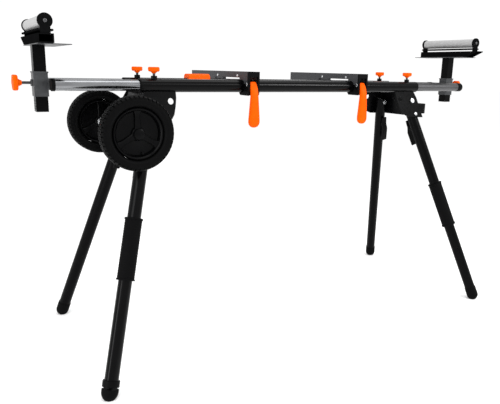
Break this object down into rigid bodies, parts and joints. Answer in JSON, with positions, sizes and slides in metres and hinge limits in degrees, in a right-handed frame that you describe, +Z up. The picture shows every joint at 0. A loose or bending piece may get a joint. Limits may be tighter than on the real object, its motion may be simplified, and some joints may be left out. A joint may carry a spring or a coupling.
{
  "type": "miter saw stand",
  "caption": "Folding, rolling stand for a miter saw: twin-tube beam, folding legs, transport wheels, sliding saw brackets and height-adjustable roller supports on pull-out arms.",
  "frame": {"origin": "on the floor under the middle of the beam", "axes": "+X along the beam away from the wheels, +Y to the rear (the side the saw brackets overhang), +Z up"},
  "size_m": [1.712, 0.6386, 0.9915],
  "materials": {
    "black_coat": "gloss black powder coat on steel tube and sheet",
    "grey_coat": "satin dark grey paint on pressed steel",
    "zinc": "dull zinc plate",
    "polished_steel": "bright drawn steel tube",
    "dull_steel": "dull grey plated steel tube",
    "roller_shell": "light grey satin roller skin",
    "orange_plastic": "moulded orange plastic, satin",
    "black_plastic": "moulded black plastic, satin",
    "hub_plastic": "moulded black wheel centre, semi-gloss",
    "rubber": "black rubber, matt",
    "tyre": "black tyre rubber with block tread",
    "bolt_steel": "bright plated bolts and axle"
  },
  "bodies": {
    "frame": {"beam_tube_front": "black_coat", "beam_tube_rear": "black_coat", "carry_grip": "orange_plastic", "wheel_axle": "bolt_steel", "pull_handle": "black_plastic", "cross_plate_left": "black_coat", "cross_plate_right": "black_coat", "housing_plate_left_front": "black_coat", "leg_pivot_bolt_left_front": "bolt_steel", "housing_plate_left_rear": "black_coat", "leg_pivot_bolt_left_rear": "bolt_steel", "housing_plate_right_front": "black_coat", "leg_pivot_bolt_right_front": "bolt_steel", "housing_plate_right_rear": "black_coat", "leg_pivot_bolt_right_rear": "bolt_steel"},
    "leg_left_front": {"leg_tube_left_front": "black_coat", "leg_grip_left": "rubber", "leveller_collar": "black_plastic"},
    "lock_lever_left_front": {"leg_lock_lever_left_front": "black_plastic"},
    "leg_left_rear": {"leg_tube_left_rear": "black_coat", "foot_cap_left_rear": "rubber"},
    "lock_lever_left_rear": {"leg_lock_lever_left_rear": "black_plastic"},
    "leg_right_front": {"leg_tube_right_front": "black_coat", "leg_grip_right": "rubber", "foot_cap_right_front": "rubber"},
    "lock_lever_right_front": {"leg_lock_lever_right_front": "black_plastic"},
    "leg_right_rear": {"leg_tube_right_rear": "black_coat", "foot_cap_right_rear": "rubber"},
    "lock_lever_right_rear": {"leg_lock_lever_right_rear": "black_plastic"},
    "levelling_foot": {"levelling_foot": "rubber"},
    "wheel_front": {"tyre_front": "tyre", "wheel_hub_front": "hub_plastic"},
    "wheel_rear": {"tyre_rear": "tyre", "wheel_hub_rear": "hub_plastic"},
    "arm_left": {"arm_tube_left_front": "polished_steel", "arm_tube_left_rear": "polished_steel", "arm_yoke_left": "zinc"},
    "arm_knob_left_front": {"arm_knob_left_front": "orange_plastic"},
    "arm_knob_left_rear": {"arm_knob_left_rear": "orange_plastic"},
    "post_knob_left": {"post_knob_left": "orange_plastic"},
    "roller_head_left": {"roller_post_left": "black_coat", "roller_cradle_left": "black_coat", "ledge_plate_left": "zinc"},
    "roller_left": {"roller_left": "roller_shell"},
    "saw_bracket_left": {"saw_rail_left": "grey_coat", "rail_clamp_left": "black_plastic"},
    "clamp_lever_left": {"clamp_lever_left": "orange_plastic"},
    "arm_right": {"arm_tube_right_front": "dull_steel", "arm_tube_right_rear": "dull_steel", "arm_yoke_right": "zinc"},
    "arm_knob_right_front": {"arm_knob_right_front": "orange_plastic"},
    "arm_knob_right_rear": {"arm_knob_right_rear": "orange_plastic"},
    "post_knob_right": {"post_knob_right": "orange_plastic"},
    "roller_head_right": {"roller_post_right": "black_coat", "roller_cradle_right": "black_coat", "ledge_plate_right": "zinc"},
    "roller_right": {"roller_right": "roller_shell"},
    "saw_bracket_right": {"saw_rail_right": "grey_coat", "rail_clamp_right": "black_plastic"},
    "clamp_lever_right": {"clamp_lever_right": "orange_plastic"}
  },
  "joints": [
    {"name": "leg_fold_left_front", "type": "hinge", "parent": "frame", "child": "leg_left_front", "pos_m": [-0.51852, -0.08481, 0.704], "axis": [0, -0.9552, 0.296], "range_deg": [0, 105.2]},
    {"name": "lock_squeeze_left_front", "type": "hinge", "parent": "leg_left_front", "child": "lock_lever_left_front", "pos_m": [-0.54345, -0.08902, 0.60933], "axis": [-0.9649, 0.0777, 0.2507], "range_deg": [0, 8], "stiffness_Nm_per_rad": 0.5, "springref_deg": -11.46},
    {"name": "leg_fold_left_rear", "type": "hinge", "parent": "frame", "child": "leg_left_rear", "pos_m": [-0.51852, 0.08481, 0.704], "axis": [0, -0.9552, -0.296], "range_deg": [0, 105.2]},
    {"name": "lock_squeeze_left_rear", "type": "hinge", "parent": "leg_left_rear", "child": "lock_lever_left_rear", "pos_m": [-0.54345, 0.08902, 0.60933], "axis": [0.9649, 0.0777, -0.2507], "range_deg": [0, 8], "stiffness_Nm_per_rad": 0.5, "springref_deg": -11.46},
    {"name": "leg_fold_right_front", "type": "hinge", "parent": "frame", "child": "leg_right_front", "pos_m": [0.50599, -0.07117, 0.748], "axis": [0, 0.9552, -0.296], "range_deg": [0, 105.2]},
    {"name": "lock_squeeze_right_front", "type": "hinge", "parent": "leg_right_front", "child": "lock_lever_right_front", "pos_m": [0.53092, -0.07538, 0.65333], "axis": [-0.9649, -0.0777, -0.2507], "range_deg": [0, 8], "stiffness_Nm_per_rad": 0.5, "springref_deg": -11.46},
    {"name": "leg_fold_right_rear", "type": "hinge", "parent": "frame", "child": "leg_right_rear", "pos_m": [0.50599, 0.07117, 0.748], "axis": [0, 0.9552, 0.296], "range_deg": [0, 105.2]},
    {"name": "lock_squeeze_right_rear", "type": "hinge", "parent": "leg_right_rear", "child": "lock_lever_right_rear", "pos_m": [0.53092, 0.07538, 0.65333], "axis": [0.9649, -0.0777, 0.2507], "range_deg": [0, 8], "stiffness_Nm_per_rad": 0.5, "springref_deg": -11.46},
    {"name": "levelling_screw", "type": "slide", "parent": "leg_left_front", "child": "levelling_foot", "axis": [-0.2624, -0.2856, -0.9217], "range_m": [-0.004, 0.018]},
    {"name": "wheel_spin_front", "type": "hinge", "parent": "frame", "child": "wheel_front", "pos_m": [-0.583, -0.185, 0.6835], "axis": [0, 1, 0], "continuous": true},
    {"name": "wheel_spin_rear", "type": "hinge", "parent": "frame", "child": "wheel_rear", "pos_m": [-0.583, 0.185, 0.6835], "axis": [0, 1, 0], "continuous": true},
    {"name": "arm_slide_left", "type": "slide", "parent": "frame", "child": "arm_left", "axis": [-1, 0, 0], "range_m": [-0.18, 0.18]},
    {"name": "arm_knob_turn_left_front", "type": "hinge", "parent": "frame", "child": "arm_knob_left_front", "pos_m": [-0.492, -0.074, 0.835], "axis": [0, 0, 1], "continuous": true},
    {"name": "arm_knob_turn_left_rear", "type": "hinge", "parent": "frame", "child": "arm_knob_left_rear", "pos_m": [-0.492, 0.074, 0.835], "axis": [0, 0, 1], "continuous": true},
    {"name": "post_knob_turn_left", "type": "hinge", "parent": "arm_left", "child": "post_knob_left", "pos_m": [-0.83, 0, 0.808], "axis": [-1, 0, 0], "continuous": true},
    {"name": "post_slide_left", "type": "slide", "parent": "arm_left", "child": "roller_head_left", "axis": [0, 0, 1], "range_m": [-0.06, 0.06]},
    {"name": "roller_spin_left", "type": "hinge", "parent": "roller_head_left", "child": "roller_left", "pos_m": [-0.787, 0, 0.961], "axis": [0, 1, 0], "continuous": true},
    {"name": "bracket_slide_left", "type": "slide", "parent": "frame", "child": "saw_bracket_left", "axis": [1, 0, 0], "range_m": [-0.03, 0.18]},
    {"name": "clamp_open_left", "type": "hinge", "parent": "saw_bracket_left", "child": "clamp_lever_left", "pos_m": [-0.189, -0.108, 0.811], "axis": [-1, 0, 0], "range_deg": [0, 90]},
    {"name": "arm_slide_right", "type": "slide", "parent": "frame", "child": "arm_right", "axis": [1, 0, 0], "range_m": [-0.13, 0.18]},
    {"name": "arm_knob_turn_right_front", "type": "hinge", "parent": "frame", "child": "arm_knob_right_front", "pos_m": [0.492, -0.074, 0.835], "axis": [0, 0, 1], "continuous": true},
    {"name": "arm_knob_turn_right_rear", "type": "hinge", "parent": "frame", "child": "arm_knob_right_rear", "pos_m": [0.492, 0.074, 0.835], "axis": [0, 0, 1], "continuous": true},
    {"name": "post_knob_turn_right", "type": "hinge", "parent": "arm_right", "child": "post_knob_right", "pos_m": [0.83, 0, 0.808], "axis": [1, 0, 0], "continuous": true},
    {"name": "post_slide_right", "type": "slide", "parent": "arm_right", "child": "roller_head_right", "axis": [0, 0, 1], "range_m": [-0.06, 0.06]},
    {"name": "roller_spin_right", "type": "hinge", "parent": "roller_head_right", "child": "roller_right", "pos_m": [0.787, 0, 0.973], "axis": [0, 1, 0], "continuous": true},
    {"name": "bracket_slide_right", "type": "slide", "parent": "frame", "child": "saw_bracket_right", "axis": [1, 0, 0], "range_m": [-0.18, 0.08]},
    {"name": "clamp_open_right", "type": "hinge", "parent": "saw_bracket_right", "child": "clamp_lever_right", "pos_m": [0.244, -0.108, 0.811], "axis": [-1, 0, 0], "range_deg": [0, 90]}
  ]
}
